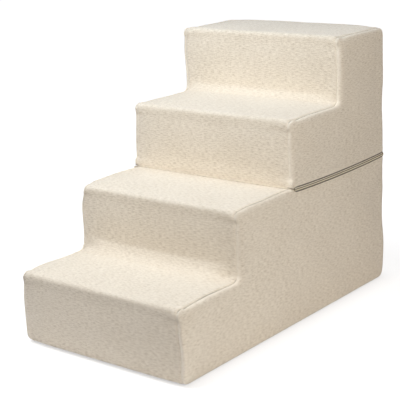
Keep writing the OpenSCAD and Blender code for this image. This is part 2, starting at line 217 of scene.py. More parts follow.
first_z = highest("lower_step_cover", split_y - 2 * tread, split_y - 1.2 * tread)
third_z = highest("upper_step_cover", split_y, split_y + 0.8 * tread)
nose_corners = [
    (split_y - 2 * tread, first_z), (split_y - tread, split_z),
    (split_y, third_z), (split_y + tread, top_z)]
foam_square = 0.005
foam_inset = top_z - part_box("upper_foam")[1].z
nose_reach = 0.016
nose_power = 7
nose_from_share = 0.7
nose_to_share = 1.5
merge_gap = 0.000001


def cut_noses(place):
    """The steps' noses are cut to a small even radius."""
    x, y, z = place.T.copy()
    for corner_y, corner_z in nose_corners:
        middle_y = corner_y + foam_inset + nose_reach
        middle_z = corner_z - foam_inset - nose_reach
        ahead = (middle_y - y) / nose_reach
        above = (z - middle_z) / nose_reach
        far = np.hypot(ahead, above) + 1e-9
        here = (ahead > 0) & (above > 0) & (far > nose_from_share) & (far < nose_to_share)
        turn = (abs(ahead) / far) ** nose_power + (abs(above) / far) ** nose_power
        grow = np.where(here, np.maximum(turn ** (-1 / nose_power) / far, 1), 1)
        y = middle_y + (y - middle_y) * grow
        z = middle_z + (z - middle_z) * grow
    return np.stack([x, y, z], axis=1)


def cut_foam(node, name):
    """The CAD block as one closed skin of even squares."""
    block = nodes[node].copy()
    block.data = nodes[node].data.copy()
    block.name = name
    for key in list(block.keys()):
        del block[key]
    bpy.context.scene.collection.objects.link(block)
    block.parent = None
    block.data.materials.clear()
    only(block)
    bpy.ops.object.mode_set(mode="EDIT")
    bpy.ops.mesh.select_all(action="SELECT")
    bpy.ops.mesh.remove_doubles(threshold=merge_gap)
    bpy.ops.object.mode_set(mode="OBJECT")
    block.data.remesh_voxel_size = foam_square
    block.data.remesh_voxel_adaptivity = 0
    bpy.ops.object.voxel_remesh()
    bpy.ops.object.mode_set(mode="EDIT")
    bpy.ops.mesh.select_all(action="SELECT")
    bpy.ops.mesh.vertices_smooth(factor=0.5, repeat=2)
    bpy.ops.object.mode_set(mode="OBJECT")
    move_to(block, cut_noses(positions(block)))
    bpy.ops.object.shade_smooth()
    return block


def new_material(name):
    """An empty material, its node tree and its Principled shader."""
    made = bpy.data.materials.new(name)
    made.use_nodes = True
    made.node_tree.nodes.clear()
    shader = add_node(made.node_tree, "ShaderNodeBsdfPrincipled")
    add_node(made.node_tree, "ShaderNodeOutputMaterial", Surface=shader.outputs[0])
    return made, made.node_tree, shader


def calc(tree, operation, first, second=0.0, third=0.0):
    """A sum worked out by a Math node."""
    return add_node(
        tree, "ShaderNodeMath", {"operation": operation}, i0=first, i1=second, i2=third).outputs[0]


def stretched_noise(tree, source, scales, scale, detail=2.0):
    """Noise on source, drawn out across and along by scales."""
    placed = add_node(tree, "ShaderNodeMapping", Vector=source, Scale=scales)
    return add_node(
        tree, "ShaderNodeTexNoise", Vector=placed.outputs[0], Scale=scale, Detail=detail).outputs[0]


def blend_colours(tree, share, first, second):
    """The first colour where share is 0, the second where it is 1."""
    return add_node(
        tree, "ShaderNodeMix", {"data_type": "RGBA"}, Factor=share, i6=first, i7=second).outputs[2]


open_foam, tree, shader = new_material("open_cell_foam")
coords = add_node(tree, "ShaderNodeTexCoord").outputs["Object"]
cells = add_node(
    tree, "ShaderNodeTexVoronoi", {"feature": "DISTANCE_TO_EDGE"},
    Vector=coords, Scale=900).outputs[0]
pores = add_node(tree, "ShaderNodeTexNoise", Vector=coords, Scale=350, Detail=4).outputs[0]
yellowing = add_node(tree, "ShaderNodeTexNoise", Vector=coords, Scale=5, Detail=2).outputs[0]
foam_tone = blend_colours(tree, yellowing, (0.87, 0.82, 0.64, 1), (0.80, 0.71, 0.48, 1))
# Pores are painted darker, as shade inside the open cells.
pore_shade = calc(tree, "MULTIPLY", calc(tree, "LESS_THAN", pores, 0.44), 0.55)
foam_colour = blend_colours(tree, pore_shade, foam_tone, (0.48, 0.42, 0.28, 1))
tree.links.new(foam_colour, shader.inputs["Base Color"])
tree.links.new(
    calc(tree, "MULTIPLY_ADD", pores, 0.2, 0.75), shader.inputs["Roughness"])
foam_bump = add_node(
    tree, "ShaderNodeBump", Strength=0.7, Distance=0.0012,
    Height=calc(tree, "ADD", cells, pores))
tree.links.new(foam_bump.outputs[0], shader.inputs["Normal"])
shader.inputs["Sheen Weight"].default_value = 0.1

foam_blocks = {}
for half in ("lower", "upper"):
    foam_blocks[half] = cut_foam(half + "_foam", half + "_foam_block")


# Covers
# Each half has a cover of woven cloth: one strip over its steps, a flat panel on each side,
# a back panel, and a lining or a base underneath. The sewn cover is pulled over the foam,
# which swells it, and the seams stay pulled in.
side_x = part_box("upper_right_panel")[1].x
upper_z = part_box("upper_lining")[0].z
lining_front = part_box("upper_lining")[0].y
lining_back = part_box("upper_lining")[1].y
base_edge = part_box("base_panel")[1].y
corner_r = side_x - seam_x
corner_y = back_y - corner_r
fit = 0.0022
swell = 0.0046
swell_reach = 0.018
free_h = 0.030
puff = 4.0
puff_frames = 20


def ease(value):
    """Rises smoothly from 0 to 1 as the value does."""
    value = np.clip(value, 0, 1)
    return value * value * (3 - 2 * value)


def puff_up(cover):
    """The foam presses the cloth out all over, by a few millimetres, and never lets it in."""
    flat = positions(cover)
    out = normals(cover)
    only(cover)
    cloth = cover.modifiers.new("Cloth", "CLOTH")
    cloth.settings.use_pressure = True
    cloth.settings.uniform_pressure_force = puff
    cloth.settings.effector_weights.gravity = 0
    for step in range(1, puff_frames + 1):
        bpy.context.scene.frame_set(step)
    bpy.ops.object.modifier_apply(modifier=cloth.name)
    bpy.context.scene.frame_set(1)
    moved = positions(cover) - flat
    pushed = np.clip(np.sum(moved * out, axis=1, keepdims=True), 0, None)
    outward = fit + (swell - fit) * np.tanh(pushed / swell_reach)
    move_to(cover, flat + out * outward * ease(flat[:, 2:] / free_h))


def faces(piece):
    """The middle and the normal of every face."""
    count = len(piece.data.polygons)
    middle = np.empty(count * 3)
    facing = np.empty(count * 3)
    piece.data.polygons.foreach_get("center", middle)
    piece.data.polygons.foreach_get("normal", facing)
    return middle.reshape(-1, 3), facing.reshape(-1, 3)


def pick_faces(piece, test):
    """Selects the faces whose middle and normal pass the test."""
    piece.data.vertices.foreach_set("select", np.zeros(len(piece.data.vertices), bool))
    piece.data.edges.foreach_set("select", np.zeros(len(piece.data.edges), bool))
    piece.data.polygons.foreach_set("select", test(*faces(piece)))


seam_lines = (0, -0.002, 0.002, -0.0045, 0.0045)
cut_reach = 0.007
cut_snap = 0.0005


def cut_line(piece, axis, at, test):
    """Cuts a line of edges at a place along an axis, through the faces near it that pass."""
    across = Matrix.Identity(3)[axis]
    pick_faces(
        piece,
        lambda middle, facing: test(middle, facing) & (abs(middle[:, axis] - at) < cut_reach))
    only(piece)
    bpy.context.tool_settings.mesh_select_mode = (False, False, True)
    bpy.ops.object.mode_set(mode="EDIT")
    bpy.ops.mesh.bisect(plane_co=across * at, plane_no=across, threshold=cut_snap)
    bpy.ops.object.mode_set(mode="OBJECT")


def all_round(middle, facing):
    return np.full(len(middle), True)


def cut_seams(cover, cross_seams):
    """Cuts close lines of edges along each seam, so that the cloth can be drawn in there."""
    for side in (-1, 1):
        for line in seam_lines:
            cut_line(cover, 0, side * (seam_x + line), all_round)
    for axis, at, test, _ in cross_seams:
        for line in seam_lines:
            cut_line(cover, axis, at + line, test)


def waves(along, lengths, phase):
    """A smooth uneven line: sines of several lengths, added up, within about -1 to 1."""
    return sum(
        np.sin(2 * pi * along / length + phase * (k + 1) * 2.3) for k, length in enumerate(lengths)
    ) / len(lengths)


def bell(distance, width):
    """1 at no distance, falling smoothly to nothing past the width."""
    return np.exp(-(distance / width) ** 2)


def uneven(place, size, seed):
    """Smooth noise at each point, with lumps of a size."""
    return np.array([noise(Vector(p) / size + Vector((seed, 0, 0))) for p in place])


seam_depth = 0.0017
seam_half_w = 0.0017
side_depth_share = 0.55
seam_shadow_half_w = 0.0009
cross_seam_shadow_half_w = 0.0010
seam_highlight_off = 0.0040
seam_highlight_half_w = 0.0030
side_highlight_half_w = 0.0035
stitch_pitch = 0.007


def seam_pull(flat, out, cross_seams, seed):
    """How deep the seams draw each point in, and its painted seam shade: above 0 a shadow in the
    groove, below 0 a highlight.
    """
    side = np.sign(flat[:, 0])
    along = flat[:, 1] + flat[:, 2]
    off_seam = abs(flat[:, 0]) - seam_x
    on_top = ease((out[:, 2] - 0.35) / 0.4)
    depth = seam_depth * bell(off_seam, seam_half_w)
    depth *= side_depth_share + (1 - side_depth_share) * on_top
    stitch = 0.80 + 0.20 * np.sin(2 * pi * along / stitch_pitch)
    tight = 0.75 + 0.25 * waves(along, (0.09, 0.15), seed + side)
    # Painted shadow in the seam's groove, darkest on faces that look up, in a stitch rhythm.
    seam_light_shade = bell(off_seam, seam_shadow_half_w) * on_top * stitch * tight
    # Painted highlights: a light strip beside each seam, and a light strip over the seam where the
    # faces don't look up.
    seam_light_shade -= 0.40 * bell(off_seam - seam_highlight_off, seam_highlight_half_w)
    seam_light_shade -= 0.30 * bell(off_seam, side_highlight_half_w) * (1 - on_top)
    # The cross seams get the same painted seam shadow.
    for axis, at, test, share in cross_seams:
        here = test(flat, out)
        off = flat[:, axis] - at
        cross_depth = share * seam_depth * bell(off, seam_half_w)
        cross_seam_shadow = share * bell(off, cross_seam_shadow_half_w)
        depth = np.where(here, np.maximum(depth, cross_depth), depth)
        seam_light_shade = np.where(here, np.maximum(seam_light_shade, cross_seam_shadow), seam_light_shade)
    return depth, seam_light_shade


pucker_h = 0.0005
pucker_pitch = 0.0095
pucker_reach = 0.009
slack_h = 0.0009
slack_size = 0.11
crumple_h = 0.0004
crumple_size = 0.035


def loose_cloth(flat, seed):
    """How far the puckers beside the seams and the slack between them lift each point."""
    side = np.sign(flat[:, 0])
    along = flat[:, 1] + flat[:, 2]
    off_seam = abs(flat[:, 0]) - seam_x
    line = along / pucker_pitch + 0.8 * waves(along, (0.05, 0.083), seed + side)
    strength = 0.45 + 0.55 * waves(along, (0.11, 0.19), seed + 4 + side)
    pucker = np.sin(2 * pi * line) * strength * np.exp(-abs(off_seam) / pucker_reach)
    slack = slack_h * uneven(flat, slack_size, seed)
    crumple = crumple_h * uneven(flat, crumple_size, seed + 9)
    return pucker_h * pucker + slack + crumple


corner_w = 0.045
droop_reach = 0.030
droop_in = 0.002
droop_back = 0.0025
droop_down = 0.0055
left_droop_share = 0.45
left_in = (0.0055, 0.0120, 0.0020, 0)


def near_side(x):
    """1 at the side panels, falling to 0 a corner's width in."""
    return ease((abs(x) - (side_x - corner_w)) / corner_w)


def droop_corners(flat):
    """How far the soft corners of the noses sink, less on the left than on the right."""
    x, y, z = flat.T
    moved = np.zeros_like(flat)
    for (nose_y, nose_z), drawn_in in zip(nose_corners, left_in):
        corner = near_side(x) ** 2 * bell(np.hypot(y - nose_y, z - nose_z), droop_reach)
        droop = corner * np.where(x > 0, 1, left_droop_share)
        moved[:, 0] += drawn_in * corner * (x < 0) - droop_in * droop * np.sign(x)
        moved[:, 1] += droop_back * droop
        moved[:, 2] -= droop_down * droop
    return moved


lean_out = 0.0055
lean_reach = 0.05
lean_top_z = 0.115
lean_fade = 0.07
lean_foot = 0.02
sharp_power = 4
sharp_top_z = 0.135
sharp_fade = 0.04


def shape_front_corner(flat):
    """The lowest front corner on the right leans out at its foot and is sharp up its edge."""
    x, y, z = flat.T
    front_y = nose_corners[0][0]
    moved = np.zeros_like(flat)
    lean = ease((lean_top_z - z) / lean_fade) * ease(z / lean_foot) * near_side(x) * (x > 0)
    moved[:, 0] = lean_out * lean * bell(y - front_y, lean_reach)
    sideways = np.clip((x - seam_x) / corner_r, 0, None)
    forwards = np.clip((front_y + corner_r - y) / corner_r, 0, None)
    round_off = np.maximum(np.hypot(sideways, forwards), 1e-6)
    power = 2 + sharp_power * ease((sharp_top_z - z) / sharp_fade)
    turn = (sideways / round_off) ** power + (forwards / round_off) ** power
    spread = np.where((sideways > 0) & (forwards > 0), turn, 1) ** (-1 / power) - 1
    moved[:, 0] += spread * sideways * corner_r
    moved[:, 1] -= spread * forwards * corner_r
    return moved


bridge_swell = 0.003
bridge_from_side = 0.010
bridge_fade = 0.060
bridge_ramp = 0.016
creases = [
    (nose_corners[0][1], nose_corners[1][0], 0.031),
    (nose_corners[2][1], nose_corners[3][0], 0.021)]


def bridge_creases(flat):
    """Away from the sides the cloth doesn't reach into a cover's crease, but bridges it."""
    x, y, z = flat.T
    moved = np.zeros_like(flat)
    for tread_z, riser_y, bridge_r in creases:
        behind = y - (riser_y - bridge_swell - bridge_r)
        below = tread_z + bridge_swell + bridge_r - z
        far = np.maximum(np.hypot(behind, below), 1e-6)
        in_crease = (behind > 0) & (below > 0) & (far > bridge_r) & (far < 1.5 * bridge_r)
        share = in_crease * ease(behind / bridge_ramp) * ease(below / bridge_ramp)
        share *= ease((side_x - bridge_from_side - abs(x)) / bridge_fade)
        back = share * (bridge_r / far - 1)
        moved[:, 1] += back * behind
        moved[:, 2] -= back * below
    return moved


full_h = 0.0005
full_off = 0.006
full_half_w = 0.004
drift_w = 0.0028
drift_reach = 0.016


def sew(cover, cross_seams, seed):
    """The sewn cover: seams drawn in and wandering, cloth puckered, and corners shaped."""
    flat = positions(cover)
    out = normals(cover)
    x, y, z = flat.T
    off_seam = abs(x) - seam_x
    off_floor = ease(z / free_h)
    depth, seam_light_shade = seam_pull(flat, out, cross_seams, seed)
    full = full_h * bell(abs(off_seam) - full_off, full_half_w)
    lifted = full - depth + loose_cloth(flat, seed) * off_floor
    drift = waves(y + z, (0.12, 0.21, 0.33), seed + 7 * np.sign(x)) * off_floor
    place = flat + out * lifted[:, None] + bridge_creases(flat)
    place += shape_front_corner(flat) + droop_corners(flat)
    place[:, 0] += np.sign(x) * drift_w * drift * bell(off_seam, drift_reach)
    return place, seam_light_shade


lip_r = {"lower": 0.0082, "upper": 0.0058}
lip_from_front = {"lower": -0.011, "upper": -0.005}
lip_start_w = 0.008
lip_in = 0.0009
lip_h = 0.022
lip_fade = 0.010
lip_front_share = 0.4
lip_front = 0.004
lip_front_fade = 0.012


def fill_lips(place, half):
    """Beside the zip the cloth is pulled tight over its tape, so the edges there are fuller."""
    x, y, z = place.T
    high = np.clip(split_z - z if half == "lower" else z - upper_z, 0, None)
    from_front = y - split_y
    widen = ease((from_front - lip_front) / lip_front_fade)
    r = lip_r[half] * (lip_front_share + (1 - lip_front_share) * widen)
    drop = np.clip(r - high, 0, r)
    sunk = r - np.sqrt(np.maximum(r * r - drop * drop, 0))
    side = np.maximum(abs(x) - seam_x, 0)
    back = np.maximum(y - corner_y, 0)
    reach = np.hypot(side, back)
    wanted = corner_r - lip_in - sunk
    if half == "upper":
        front_off = np.clip(corner_r - from_front, 0, corner_r)
        wanted = wanted * np.sqrt(1 - (front_off / corner_r) ** 2)
    near = ease((lip_h - high) / lip_fade) * (reach > 0.0005)
    near = near * ease((from_front - lip_from_front[half]) / lip_start_w)
    grow = near * (wanted - reach)
    x = x + np.sign(x) * grow * side / np.maximum(reach, 1e-6)
    y = y + grow * back / np.maximum(reach, 1e-6)
    return np.stack([x, y, z], axis=1)


hinge_edge_r = 0.0042
crease_w = 0.012
crease_fade = 0.005
crease_h = 0.020
crease_h_fade = 0.008


def close_crease(place):
    """Over the hinge the upper cover's front edge comes down close round the ridge."""
    x, y, z = place.T
    high = np.clip(z - upper_z, 0, None)
    drop = np.clip(hinge_edge_r - high, 0, hinge_edge_r)
    wanted = split_y + hinge_edge_r - np.sqrt(hinge_edge_r ** 2 - drop ** 2)
    near = ease((split_y + crease_w - y) / crease_fade) * ease((crease_h - high) / crease_h_fade)
    return np.stack([x, y - near * np.maximum(y - wanted, 0), z], axis=1)


clear_gap = 0.0003
floor_gap = 0.0007
side_floor_gap = 0.0001
tread_h = 0.0025
riser_out = 0.0022


def keep_clear(place, half):
    """The halves, the floor and the hinge each keep the cover to its own side."""
    x, y, z = place.T
    if half == "lower":
        open_share = ease((split_y - 0.004 - y) / 0.05)
        z = np.minimum(z, split_z - clear_gap + tread_h * open_share)
        on_side = ease((abs(x) - seam_x) / 0.004)
        z = np.maximum(z, floor_gap - (floor_gap - side_floor_gap) * on_side)
    else:
        z = np.maximum(z, upper_z + clear_gap)
        low_front = ease((upper_z + 0.03 - z) / 0.03)
        y = np.maximum(y, split_y - riser_out * (1 - low_front))
    return np.stack([x, y, z], axis=1)


zip_sag = 0.0049
sag_power = 0.6
sag_side_w = 0.03
sag_h = 0.06


def sag(place):
    """The right side of the zip hangs through a little between its ends."""
    x, y, z = place.T
    span = np.clip((y - split_y) / (back_y - split_y), 0, 1)
    on_right = ease((x - seam_x + sag_side_w) / sag_side_w)
    share = np.sin(pi * span) ** sag_power * on_right * bell(z - split_z, sag_h)
    return np.stack([x, y, z - zip_sag * share], axis=1)


PANELS = {
    "lower": ["step_cover", "left_panel", "right_panel", "back_panel", "lining", "base"],
    "upper": ["step_cover", "left_panel", "right_panel", "back_panel", "lining"],
}


flat_within = 0.006


def sort_panels(cover, half):
    """Gives each face the number of the panel that it belongs to."""
    names = PANELS[half]
    middle, facing = faces(cover)
    x, y, z = middle.T
    found = np.full(len(middle), names.index("step_cover"), np.int32)
    if half == "lower":
        on_top = (y > split_y + 0.003) & (z > split_z - flat_within) & (facing[:, 2] > 0.5)
        found[on_top] = names.index("lining")
        found[y > lining_back] = names.index("back_panel")
        under = (z < flat_within) & (facing[:, 2] < -0.5) & (abs(y) < base_edge)
        found[under] = names.index("base")
        found[(z < 0.02) & (y > base_edge)] = names.index("back_panel")
    else:
        back = (y > lining_back) & (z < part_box("upper_back_panel")[1].z)
        found[back] = names.index("back_panel")
        under = (z < upper_z + flat_within) & (facing[:, 2] < -0.5)
        found[under & (y > lining_front) & (y < lining_back)] = names.index("lining")
    found[x < -seam_x] = names.index("left_panel")
    found[x > seam_x] = names.index("right_panel")
    panel = cover.data.attributes.new("panel", "INT", "FACE")
    panel.data.foreach_set("value", found)


def store(piece, name, kind, values):
    """Keeps a value for each point, for the materials to read."""
    attribute = piece.data.attributes.new(name, kind, "POINT")
    field = "vector" if kind == "FLOAT_VECTOR" else "value"
    attribute.data.foreach_set(field, values.astype(np.float32).ravel())


def store_cloth_place(piece, across, along):
    """Keeps where each point lies on its flat cut piece of cloth, in metres."""
    store(piece, "cloth_place", "FLOAT_VECTOR", np.stack([across, along, 0 * across], axis=1))


def lay_flat(piece, panel):
    """Works out where each point of a panel lies on its cloth, across and along."""
    out = normals(piece)
    x, y, z = positions(piece).T
    if panel in ("left_panel", "right_panel"):
        beyond = np.maximum(side_x - abs(x), 0)
        across = y + out[:, 1] * beyond
        along = z + out[:, 2] * beyond
    elif panel == "back_panel":
        across, along = x, z - y
    elif panel == "step_cover":
        across, along = x, y + z
    else:
        across, along = x, y
    store_cloth_place(piece, across, along)


def woven(name, light_yarn, dark_yarn, yarn, fleck, sheen, crimp=0.00035):
    """A plain weave of uneven yarn: light and dark yarns, slubs, flecks and patches of uneven tone,
    painted shade between the yarns, and painted shadow and highlights at the seams.
    """
    cloth, tree, shader = new_material(name)
    spot = add_node(
        tree, "ShaderNodeAttribute", {"attribute_name": "cloth_place"}).outputs["Vector"]
    sewn = add_node(tree, "ShaderNodeAttribute", {"attribute_name": "seam"}).outputs["Fac"]
    wander = add_node(tree, "ShaderNodeTexNoise", Vector=spot, Scale=90, Detail=1).outputs[1]
    shift = add_node(
        tree, "ShaderNodeVectorMath", {"operation": "MULTIPLY_ADD"},
        i0=wander, i1=(yarn * 0.8,) * 3, i2=spot).outputs[0]
    split = add_node(tree, "ShaderNodeSeparateXYZ", Vector=shift)
    weft = calc(tree, "SINE", calc(tree, "MULTIPLY", split.outputs[0], pi / yarn))
    warp = calc(tree, "SINE", calc(tree, "MULTIPLY", split.outputs[1], pi / yarn))
    weft_top = calc(tree, "ABSOLUTE", weft)
    warp_top = calc(tree, "ABSOLUTE", warp)
    over = calc(tree, "GREATER_THAN", calc(tree, "MULTIPLY", weft, warp), 0)
    check = calc(tree, "SUBTRACT", over, 0.5)
    across_yarn = calc(tree, "MULTIPLY", weft_top, calc(tree, "POWER", warp_top, 0.35))
    along_yarn = calc(tree, "MULTIPLY", warp_top, calc(tree, "POWER", weft_top, 0.35))
    height = add_node(
        tree, "ShaderNodeMix", {"data_type": "FLOAT"},
        Factor=over, A=along_yarn, B=across_yarn).outputs[0]
    slubs = stretched_noise(tree, spot, (0.2, 1.1, 1), 520, 1.0)
    warp_slubs = stretched_noise(tree, spot, (1.0, 0.3, 1), 420, 1.0)
    grain = calc(tree, "MULTIPLY_ADD", slubs, 0.75, calc(tree, "MULTIPLY", warp_slubs, 0.25))
    patches = add_node(tree, "ShaderNodeTexNoise", Vector=spot, Scale=11, Detail=3).outputs[0]
    # Yarn tops lighter and the gaps between yarns darker: painted shade at the scale of the weave.
    tone = calc(tree, "MULTIPLY_ADD", height, 0.30, 0.50)
    tone = calc(tree, "MULTIPLY_ADD", check, 0.4 * fleck, tone)
    tone = calc(tree, "MULTIPLY_ADD", calc(tree, "SUBTRACT", grain, 0.5), 3.2 * fleck, tone)
    tone = calc(tree, "MULTIPLY_ADD", calc(tree, "SUBTRACT", patches, 0.5), 0.35, tone)
    # Negative seam values make the cloth lighter: painted highlights beside the seams and on the
    # hinge tape.
    seam_highlight = calc(tree, "MINIMUM", sewn, 0)
    tone = add_node(
        tree, "ShaderNodeMath", {"operation": "MULTIPLY_ADD", "use_clamp": True},
        i0=seam_highlight, i1=-0.9, i2=tone).outputs[0]
    cloth_colour = blend_colours(tree, tone, dark_yarn, light_yarn)
    # Where the seam value is above 0 the cloth turns to the painted seam shadow colour.
    seam_shadow_share = add_node(
        tree, "ShaderNodeMath", {"operation": "MAXIMUM", "use_clamp": True},
        i0=sewn, i1=0.0).outputs[0]
    tree.links.new(
        blend_colours(tree, seam_shadow_share, cloth_colour, seam_shadow_colour), shader.inputs["Base Color"])
    tree.links.new(calc(tree, "MULTIPLY_ADD", grain, 0.25, 0.72), shader.inputs["Roughness"])
    relief = calc(tree, "MULTIPLY_ADD", grain, 1.1, height)
    bump = add_node(tree, "ShaderNodeBump", Strength=0.8, Distance=crimp, Height=relief)
    tree.links.new(bump.outputs[0], shader.inputs["Normal"])
    shader.inputs["Sheen Weight"].default_value = sheen
    shader.inputs["Sheen Roughness"].default_value = 0.45
    shader.inputs["Specular IOR Level"].default_value = 0.25
    return cloth


seam_shadow_colour = (0.16, 0.13, 0.09, 1)
linen = woven("linen", (0.95, 0.865, 0.73, 1), (0.66, 0.57, 0.44, 1), 0.0018, 1.0, 0.35)
lining_cloth = woven(
    "lining_cloth", (0.82, 0.79, 0.72, 1), (0.66, 0.62, 0.54, 1), 0.0009, 0.3, 0.1, 0.0002)
base_cloth = woven(
    "base_cloth", (0.25, 0.235, 0.215, 1), (0.14, 0.13, 0.12, 1), 0.0012, 0.4, 0.1, 0.0003)
top_within = 0.008
under_within = 0.010


def on_split(middle, facing):
    return (facing[:, 2] > 0.5) & (middle[:, 2] > split_z - top_within)


def on_floor(middle, facing):
    return (facing[:, 2] < -0.5) & (middle[:, 2] < under_within)


def under_upper(middle, facing):
    return (facing[:, 2] < -0.5) & (middle[:, 2] < upper_z + under_within)


def on_back(middle, facing):
    return facing[:, 1] > 0.5


cross_seams = {
    "lower": [
        (1, split_y + 0.003, on_split, 0.0), (1, lining_back, on_split, 0.5),
        (1, -base_edge, on_floor, 0.6), (1, base_edge, on_floor, 0.6),
    ],
    "upper": [
        (1, lining_front, under_upper, 0.5), (1, lining_back, under_upper, 0.5),
        (2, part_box("upper_back_panel")[1].z, on_back, 0.6),
    ],
}
slots = {
    "step_cover": (linen, "cover_fabric"), "left_panel": (linen, "cover_fabric"),
    "right_panel": (linen, "cover_fabric"), "back_panel": (linen, "cover_fabric"),
    "lining": (lining_cloth, "lining"), "base": (base_cloth, "base_fabric"),
}
stands_for = {"base": "base_panel"}
cloth_t = 0.0012
foam_in = 0.0024
for half, seed in (("lower", 3.0), ("upper", 11.0)):
    cover = foam_blocks[half].copy()
    cover.data = foam_blocks[half].data.copy()
    cover.name = half + "_cover"
    bpy.context.scene.collection.objects.link(cover)
    puff_up(cover)
    move_to(foam_blocks[half], positions(cover))
    cut_seams(cover, cross_seams[half])
    sort_panels(cover, half)
    apply_modifier(cover, "SUBSURF", levels=1, render_levels=1)
    place, seam_light_shade = sew(cover, cross_seams[half], seed)
    place = fill_lips(place, half)
    if half == "upper":
        place = close_crease(place)
    move_to(cover, sag(keep_clear(place, half)))
    # The seam value holds the seams' painted shadow and painted highlights, for the cloth to read.
    store(cover, "seam", "FLOAT", seam_light_shade)
    for number, panel in enumerate(PANELS[half]):
        piece = cover.copy()
        piece.data = cover.data.copy()
        piece.name = half + "_" + panel + "_cloth"
        bpy.context.scene.collection.objects.link(piece)
        belongs = np.empty(len(piece.data.polygons), np.int32)
        piece.data.attributes["panel"].data.foreach_get("value", belongs)
        pick_faces(piece, lambda middle, facing: belongs != number)
        only(piece)
        bpy.ops.object.mode_set(mode="EDIT")
        bpy.ops.mesh.delete(type="FACE")
        bpy.ops.object.mode_set(mode="OBJECT")
        piece.data.attributes.remove(piece.data.attributes["panel"])
        lay_flat(piece, panel)
        apply_modifier(piece, "SOLIDIFY", thickness=cloth_t, offset=-1, use_even_offset=False)
        piece.data.materials.append(slots[panel][0])
        bpy.ops.object.shade_smooth()
        node = stands_for.get(panel, half + "_" + panel)
        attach(piece, half + "_half")
        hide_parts(node)
    bpy.data.objects.remove(cover)

    block = foam_blocks[half]
    place = fill_lips(sew(block, [], seed)[0], half)
    move_to(block, sag(keep_clear(place, half)))
    move_to(block, positions(block) - normals(block) * foam_in)
    block.data.materials.append(open_foam)
    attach(block, half + "_half")
    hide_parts(half + "_foam")


# Grip dots
# Soft rubber dots are moulded onto the cloth of the base, in even rows, so that the stairs
# don't slide on a smooth floor.
dot_r = 0.004
dot_h = 0.0007
dot_pitch = 0.032
dot_columns = 11
dot_rows = 21
dot_round = 0.0003
rubber, tree, shader = new_material("grip_rubber")
coords = add_node(tree, "ShaderNodeTexCoord").outputs["Object"]
bloom = add_node(tree, "ShaderNodeTexNoise", Vector=coords, Scale=60, Detail=3).outputs[0]
pits = add_node(tree, "ShaderNodeTexNoise", Vector=coords, Scale=2400, Detail=2).outputs[0]
tree.links.new(
    blend_colours(tree, bloom, (0.12, 0.112, 0.10, 1), (0.20, 0.19, 0.175, 1)),
    shader.inputs["Base Color"])
tree.links.new(calc(tree, "MULTIPLY_ADD", bloom, 0.3, 0.5), shader.inputs["Roughness"])
rubber_bump = add_node(tree, "ShaderNodeBump", Strength=0.3, Distance=0.0001, Height=pits)
tree.links.new(rubber_bump.outputs[0], shader.inputs["Normal"])

bpy.ops.object.select_all(action="DESELECT")
bpy.ops.mesh.primitive_cylinder_add(
    vertices=20, radius=dot_r, depth=dot_h,
    location=(-dot_pitch * (dot_columns - 1) / 2, -dot_pitch * (dot_rows - 1) / 2, dot_h / 2))
dots = bpy.context.active_object
dots.name = "grip_dots"
bpy.ops.object.transform_apply()
apply_modifier(
    dots, "BEVEL", width=dot_round, segments=2, limit_method="ANGLE", angle_limit=radians(60))
apply_modifier(
    dots, "ARRAY", count=dot_columns, use_relative_offset=False, use_constant_offset=True,
    constant_offset_displace=(dot_pitch, 0, 0))
apply_modifier(
    dots, "ARRAY", count=dot_rows, use_relative_offset=False, use_constant_offset=True,
    constant_offset_displace=(0, dot_pitch, 0))
dots.data.materials.append(rubber)
only(dots)
bpy.ops.object.shade_smooth_by_angle(angle=radians(40))
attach(dots, "lower_half")
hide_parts("base_panel")


# Hinge tape
# A doubled tape of the cover's cloth joins the halves along the front of the split. A thin
# cord in its fold makes the ridge that the upper half turns on, and its flat is sewn down.
ridge_lo, ridge_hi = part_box("hinge_tape")
ridge_r = 0.0012
hinge_half_w = seam_x + 0.006
hinge_t = 0.0004
hinge_step = 0.003
hinge_slack = 0.0003
hinge_end_drop = 0.0018
hinge_end_from = seam_x - 0.004
hinge_end_w = 0.010
bpy.ops.object.select_all(action="DESELECT")
bpy.ops.mesh.primitive_cylinder_add(
    vertices=14, radius=ridge_r, depth=2 * hinge_half_w,
    location=(0, ridge_lo.y + ridge_r, ridge_hi.z - ridge_r), rotation=(0, pi / 2, 0))
hinge = bpy.context.active_object
hinge.name = "hinge_tape_cloth"
bpy.ops.object.transform_apply()
bpy.ops.mesh.primitive_cube_add(
    size=1, location=(0, (ridge_hi.y + ridge_lo.y + ridge_r) / 2, ridge_lo.z + hinge_t / 2),
    scale=(2 * hinge_half_w, ridge_hi.y - ridge_lo.y - ridge_r, hinge_t))
bpy.ops.object.transform_apply()
hinge.select_set(True)
bpy.context.view_layer.objects.active = hinge
bpy.ops.object.join()


def cut_across(piece, axis, low, high, step):
    """Cuts even lines of edges across a piece, from low to high along an axis."""
    only(piece)
    across = Matrix.Identity(3)[axis]
    bpy.ops.object.mode_set(mode="EDIT")
    for at in np.arange(low + step, high - step / 2, step):
        bpy.ops.mesh.select_all(action="SELECT")
        bpy.ops.mesh.bisect(plane_co=across * at, plane_no=across)
    bpy.ops.object.mode_set(mode="OBJECT")


cut_across(hinge, 0, -hinge_half_w, hinge_half_w, hinge_step)
place = positions(hinge)
slack = hinge_slack * waves(place[:, 0], (0.031, 0.047, 0.09), 2)
place[:, 1] += slack * (place[:, 1] < ridge_lo.y + 2 * ridge_r)
place[:, 2] -= hinge_end_drop * ease((abs(place[:, 0]) - hinge_end_from) / hinge_end_w)
move_to(hinge, place)
x, y, z = place.T
store_cloth_place(hinge, x, y + z)
# The whole hinge tape is painted lighter, a painted highlight along the crease.
store(hinge, "seam", "FLOAT", np.full(len(x), -0.3))
hinge.data.materials.append(linen)
only(hinge)
bpy.ops.object.shade_smooth_by_angle(angle=radians(50))
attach(hinge, "lower_half")
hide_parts("hinge_tape")


